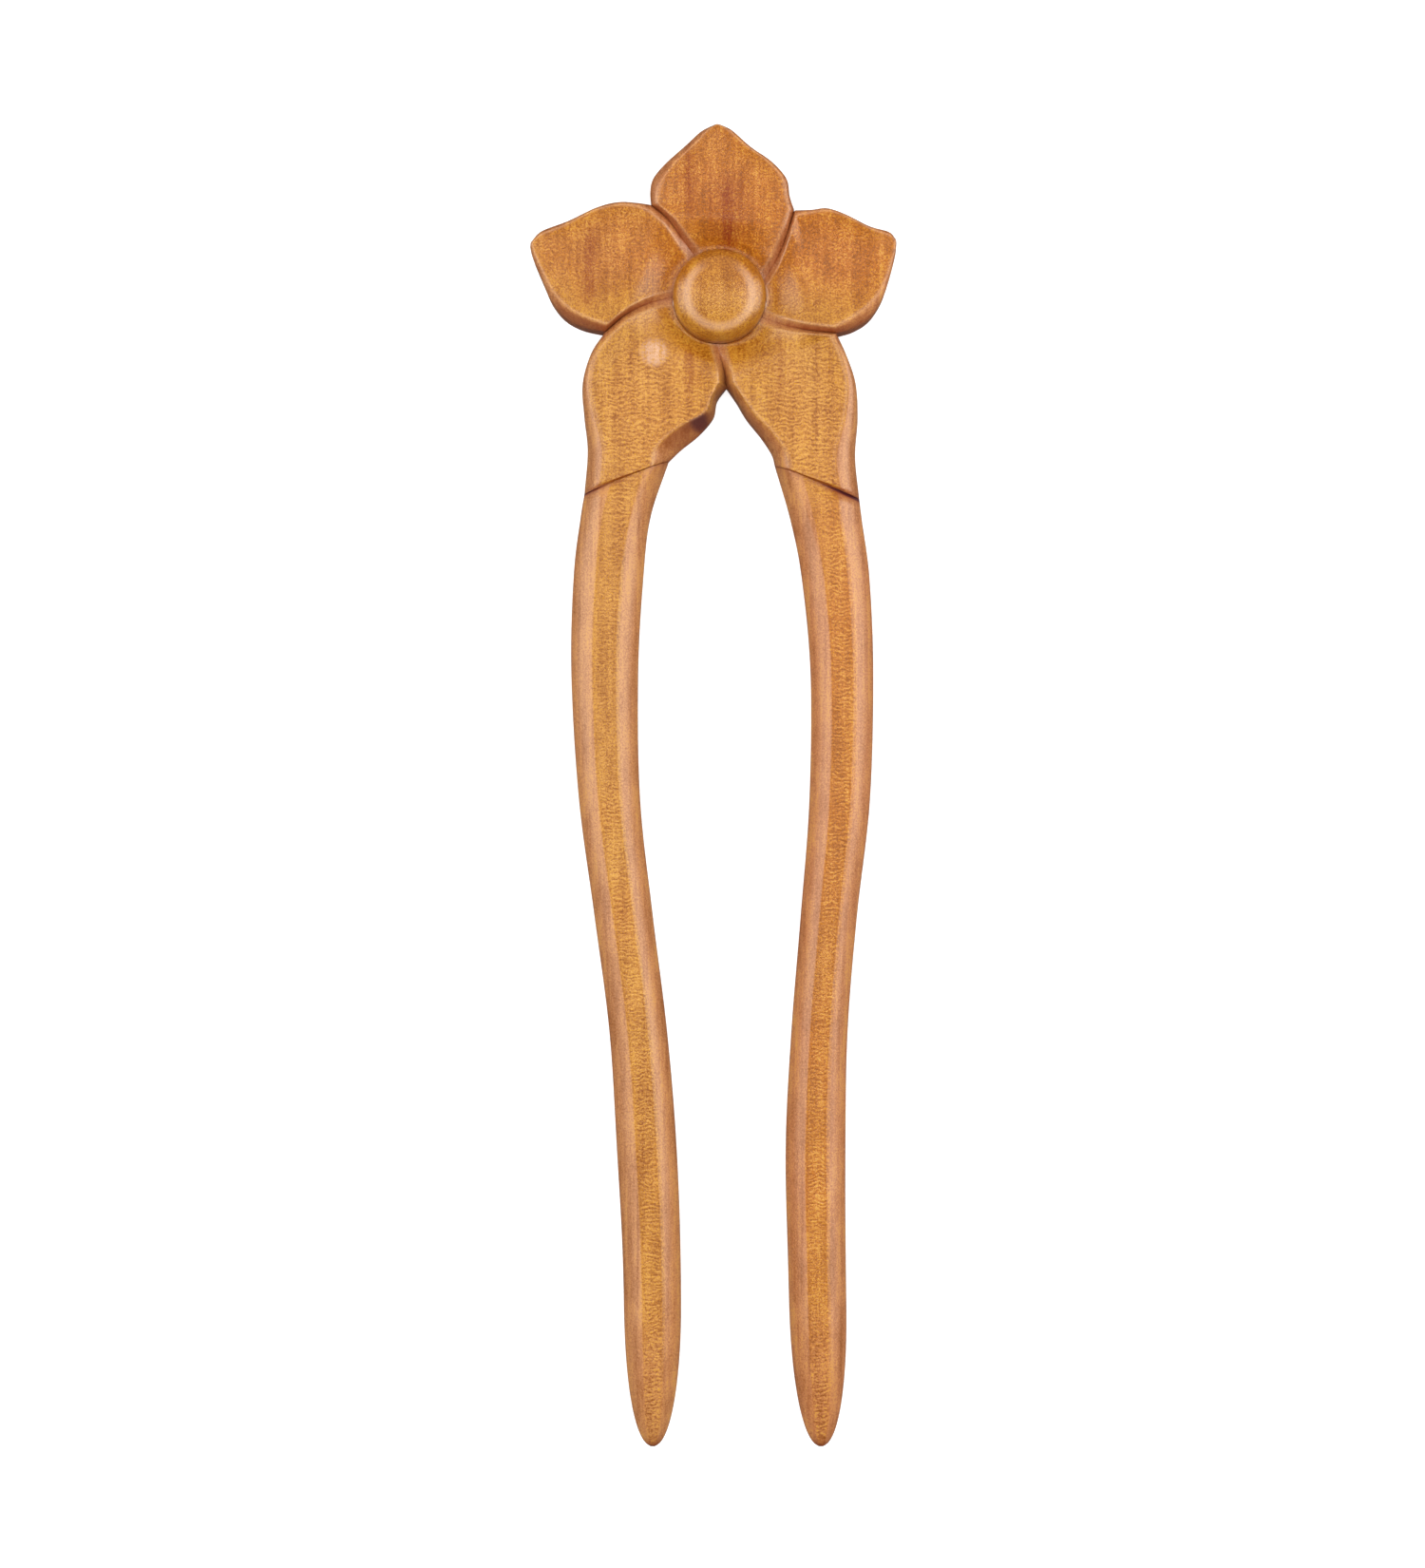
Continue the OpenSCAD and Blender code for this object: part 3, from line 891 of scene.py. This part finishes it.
# %% Streaks
def streak(at, width, first, last, strength):
    """A soft dark line along the grain at one x, from a first to a last y."""
    off = (x - at + wobble * 1.2) / width
    bell = strength / (1 + off * off * (off * off * 0.3 + 1))
    return bell * fade(y, first - 3, first + 1) * (1 - fade(y, last - 1, last + 3))


streaks = (
    streak(-3.8, 0.5, 11, 18, 0.9) + streak(1.1, 0.9, 7, 14, 1.6)
    + streak(3.2, 0.5, 9, 15, 0.4) + streak(-1.2, 0.4, 9, 15, 0.4)
    + streak(-16.6, 0.8, 0, 8, 0.9) + streak(-13.8, 0.4, 1, 7, 0.3)
    + streak(-3.8, 0.6, -12, -8, 0.7) + streak(7.8, 0.4, -12, -6, 0.5)
)
streaks = streaks * (0.35 + fade(fibres + specks * 0.6, 0.55, 1.05) * 0.65)
print(len(wood.node_tree.nodes), "nodes with the streaks")

# %% [markdown]
# Most colours are those of the wood itself, without light; a few also stand in for painted
# sheen and painted shade. Each is red, green, blue and opacity.

# %% Colours
HONEY = (0.405, 0.162, 0.016, 1)
ORANGE = (0.390, 0.100, 0.000, 1)
# pink: the tips' own blush, and the painted sheen on the bevels
BLUSH_AND_SHEEN = (0.440, 0.180, 0.094, 1)
RUST = (0.205, 0.052, 0.000, 1)
DARK = (0.180, 0.022, 0.000, 1)
# oil in the grooves and notches, with the painted shade there
DEEP = (0.200, 0.034, 0.012, 1)
PALE = (0.540, 0.262, 0.032, 1)
# pinkish pale: the crests' wear, and the painted highlights on the ring, the spot and the
# crests
WORN_AND_SHEEN = (0.620, 0.370, 0.230, 1)
# the knot, and the deepest oil and painted shade in the notches
STAIN_AND_SHADE = (0.070, 0.010, 0.014, 1)
print(f"honey is {HONEY[0] / HONEY[1]:.1f} times as red as green")

# %% [markdown]
# The fork isn't one colour all over. These masks say where each part of it is: 1 inside,
# 0 outside, soft between. Some come from the place in the plan, the others from the
# numbers that the blades carry.

# %% Masks
def mark(name):
    """A number that the blades carry at every spot."""
    return start.node("Attribute", {"attribute_name": name}, output=2)


def near(place, reach, soft=3):
    """1 at a place in the plan and 0 well past the reach."""
    dx, dy = x - place[0], y - place[1]
    return 1 - fade(dx * dx + dy * dy, reach * reach / soft, reach * reach * soft)


upper = fade(y, -4, 5)
not_far_left = fade(x, -12, -5)
right_prong = (1 - fade(y, -30, -20)) * fade(x, -2, 4)
# the groove mark brings oil and painted shade; the rim mark wear and a painted highlight
heart, figure, groove_oil_and_shade, crest = (mark(n) for n in ("heart", "figure", "groove", "rim"))
from_centre = start.math("SQRT", x * x + y * y)
boss = 1 - fade(from_centre, 5.8, 6.1)
tips = 1 - fade(y, -142, -126)
bevels = (1 - fade(figure, 0.0, 0.3)) * (1 - boss)
print(len(wood.node_tree.nodes), "nodes with the masks")

# %% [markdown]
# First the tone: honey, going orange on the upper petals, in their middles and down the
# right prong, with a pinker blush on the tips and a painted pink sheen on the planed
# bevels.

# %% Tone
redness = upper * 0.3 + upper * not_far_left * 0.35 + right_prong * 0.6
redness = redness + upper * heart * 0.35 + (patches - 0.42) - boss * 0.25
# painted sheen on the bevels, which face the side boxes, and the real blush of the tips
blush_and_sheen = (bevels + tips * 0.8).clamp() * 0.55
honey = start.node("RGB")
honey.socket.default_value = HONEY
toned = honey.mix(ORANGE, redness.clamp()).mix(BLUSH_AND_SHEEN, blush_and_sheen)
print(len(wood.node_tree.nodes), "nodes with the tone")

# %% [markdown]
# Then the grain. All the patterns go into one sum, the shade: above zero a spot is darker
# than its surroundings, below zero it is paler. One sum keeps the change soft, where a
# separate mix for every pattern would look like a stencil.

# %% Grain
shade = (mottle - 0.48) * 1.6 * (upper * 0.4 + 0.6)
shade = shade + (bands - 0.5) * 1.1 + upper * 0.08
shade = shade + (specks - 0.48) * (3.0 - bevels * 1.2)
shade = shade + (fibres - 0.5) * (0.8 + bevels * 0.5)
shade = shade + (ripples - 0.5) * (figure + 0.4)
shade = shade + (curls - 0.6) * figure * fade(patches, 0.25, 0.55) * 0.6
grained = toned.mix(RUST, (shade + 0.16).clamp()).mix(PALE, (0.02 - shade).clamp())
streaked = grained.mix(DARK, streaks.clamp() * 0.9)
print(len(wood.node_tree.nodes), "nodes with the grain")

# %% [markdown]
# Faces turned towards the tips are darker with painted shade, least so on the boss. Low on
# the cut wall of the left sheath the wood shows a small knot, nearly black.

# %% Painted shade towards the tips
KNOT = (-2.6, -16.1)
knot = near(KNOT, 0.9) * fade(toward_tips, 0.2, 0.4)
# painted shade on faces turned towards the tips
shaded_toward_tips = streaked.mix(DARK, fade(toward_tips, 0.3, 0.8) * (0.65 - boss * 0.5))
stained = shaded_toward_tips.mix(STAIN_AND_SHADE, knot * 0.8)
print(len(wood.node_tree.nodes), "nodes with the end grain")

# %% [markdown]
# Handling has paled the crests, and they also carry a painted highlight. A painted
# highlight lies on the ring where the boss's crown meets its shoulder, and on one spot in
# the hollow of the lower left petal. The lower right of the boss's shoulder gets painted
# shade, and the grooves and notches hold dark oil with painted shade.

# %% Wear, painted highlights and painted shade
# middle of a painted highlight in the hollow of the lower left petal
SHEEN_SPOT = (-8.4, -7.2)
# painted highlight on the ring where the crown meets the shoulder, all round but the top
ring = fade(from_centre, 3.3, 4.1) * (1 - fade(from_centre, 4.3, 5.0))
painted_ring_highlight = ring * (1 - fade(x + y, -1, 3) * (1 - fade(x - y, -3, 2)))
# painted shade on the lower right of the boss's shoulder
painted_shoulder_shade = fade(from_centre, 4.5, 5.3) * boss * fade(x - y, 0, 5)
painted_sheen_spot = near(SHEEN_SPOT, 0.9, soft=6) * fade(specks + fibres + mottle, 1.2, 1.9)
# painted highlights, and the crests' wear with their painted highlight
paled_and_highlighted = stained.mix(WORN_AND_SHEEN, (painted_ring_highlight * 0.35 + painted_sheen_spot * 0.8 + crest * 0.2).clamp())
# painted shade on the shoulder, then oil and painted shade in the grooves, ring and notches
oiled_and_shaded = paled_and_highlighted.mix(RUST, painted_shoulder_shade * 0.25).mix(DEEP, (groove_oil_and_shade * 0.7).clamp())
oiled_and_shaded = oiled_and_shaded.mix(STAIN_AND_SHADE, fade(groove_oil_and_shade, 0.8, 1.5))
print(len(wood.node_tree.nodes), "nodes with the wear")

# %% [markdown]
# Oil and sanding leave a satin sheen. The specks are slightly hollow, which breaks the
# highlights up, and they are rougher than the wood between them.

# %% Surface
gloss = 0.31 + (specks - 0.5) * 0.25 + bevels * 0.05
relief = 0 - specks - curls * figure * 0.3
sockets = {"Strength": 0.5, "Distance": 0.05 * MM, "Height": relief}
bumps = start.node("Bump", {}, sockets)
surface = start.node("BsdfPrincipled", {}, {
    "Base Color": oiled_and_shaded, "Roughness": gloss, "Normal": bumps,
    "Specular IOR Level": 1.0, "Specular Tint": (1.0, 0.84, 0.66, 1),
    "Coat Weight": 0.2, "Coat Roughness": 0.25,
})
start.node("OutputMaterial", {}, {"Surface": surface})
print(len(wood.node_tree.nodes), "nodes")

# %% [markdown]
# ## Put the pieces on the frame
#
# Nothing on a hair fork moves, so every piece rides on the one body, and each stands for
# the node of the same part in the packed model.

# %% Join to the frame
for node, piece in pieces.items():
    piece.data.materials.append(wood)
    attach(piece, "root")
    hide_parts(node)
    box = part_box(node)
    grown = (piece.dimensions - (box[1] - box[0])) / MM
    print(f"{piece.name} is within {max(map(abs, grown)):.2f} mm of its node's size")

# %% [markdown]
# ## Floor and light
#
# The fork lies on a lit white table, which lifts the shadows under its edges. A pale dome
# closes the room behind it. Only the camera sees the dome, so it adds no light and leaves
# no reflection in the oil.

# %% Table and backdrop
ROOM = 3  # metres from the fork to the end of the table
CLEAR = 0.0001  # metres between the table and the fork's back


def white_paper(name, reflect, glow):
    paper = bpy.data.materials.new(name)
    paper.use_nodes = True
    sockets = paper.node_tree.nodes["Principled BSDF"].inputs
    sockets["Base Color"].default_value = (reflect, reflect, reflect, 1)
    sockets["Roughness"].default_value = 0.9
    sockets["Emission Color"].default_value = (1, 1, 1, 1)
    sockets["Emission Strength"].default_value = glow
    return paper


def stage_piece(name, bm, paper):
    mesh = bpy.data.meshes.new(name)
    bm.to_mesh(mesh)
    bm.free()
    mesh.materials.append(paper)
    made = bpy.data.objects.new(name, mesh)
    bpy.context.scene.collection.objects.link(made)
    made.visible_glossy = False
    made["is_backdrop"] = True
    return made


bm = bmesh.new()
bmesh.ops.create_circle(bm, cap_ends=True, segments=64, radius=ROOM)
floor = stage_piece("floor", bm, white_paper("lit_table", 0.45, 0.75))
floor.location.z = -CLEAR

bm = bmesh.new()
bmesh.ops.create_uvsphere(bm, u_segments=64, v_segments=32, radius=ROOM)
bmesh.ops.delete(bm, geom=[v for v in bm.verts if v.co.z < -0.01], context="VERTS")
dome = stage_piece("backdrop", bm, white_paper("backdrop", 0, 0.8))
dome.visible_diffuse = dome.visible_shadow = False
print("the room is", 2 * ROOM, "m across")

# %% [markdown]
# Two long soft boxes stand low, either side of the fork. They lie along the grain, so
# each prong carries two unbroken highlights on its bevels and none on its flat middle.
# Weaker boxes light the ends of the forms. The near one and the one overhead light the
# wood without showing in the oil, which keeps its colour deep wherever it faces up.

# %% Lights
AIM = Vector((0, -0.05, 0))


def soft_box(name, place, wide, long, power):
    light = bpy.data.lights.new(name, "AREA")
    light.shape, light.size, light.size_y, light.energy = "RECTANGLE", wide, long, power
    light.color = (0.96, 0.98, 1.0)
    lamp = bpy.data.objects.new(name, light)
    bpy.context.scene.collection.objects.link(lamp)
    lamp.location = place
    toward = Vector(place) - AIM
    lamp.rotation_euler = toward.to_track_quat("Z", "Y").to_euler()
    lean = math.degrees(toward.angle(Vector((0, 0, 1))))
    print(f"{name}: {lean:.0f} degrees off the vertical")
    return lamp


soft_box("left_soft_box", (-0.53, 0.02, 0.30), 0.5, 0.7, 2.5)
soft_box("right_soft_box", (0.53, 0.02, 0.30), 0.5, 0.7, 2.9)
soft_box("far_soft_box", (0, 0.45, 0.40), 0.8, 0.5, 0.7)
near_light = soft_box("near_soft_box", (0, -0.5, 0.55), 0.9, 0.6, 1.5)
top_light = soft_box("top_light", (0, 0.04, 0.9), 0.6, 0.6, 8.6)
near_light.visible_glossy = top_light.visible_glossy = False

# %% [markdown]
# A dim white sky reaches the grooves that no box shines into, and the Standard view
# leaves the colours as they were mixed.

# %% Sky
world = bpy.data.worlds.new("studio")
bpy.context.scene.world = world
world.use_nodes = True
sky = world.node_tree.nodes["Background"].inputs
sky["Color"].default_value, sky["Strength"].default_value = (1, 1, 1, 1), 0.06
bpy.context.scene.view_settings.view_transform = "Standard"
print("sky strength:", round(sky["Strength"].default_value, 2))

# %% [markdown]
# ## Sizes
#
# The fork that was carved here has to be as large as the packed one, so both boxes are
# printed side by side.

# %% Sizes
new_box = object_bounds()
for name, (a, b) in {"cad": cad_box, "visual": new_box}.items():
    print(name, "box in mm:", [round(n / MM, 2) for n in (*a, *b)])
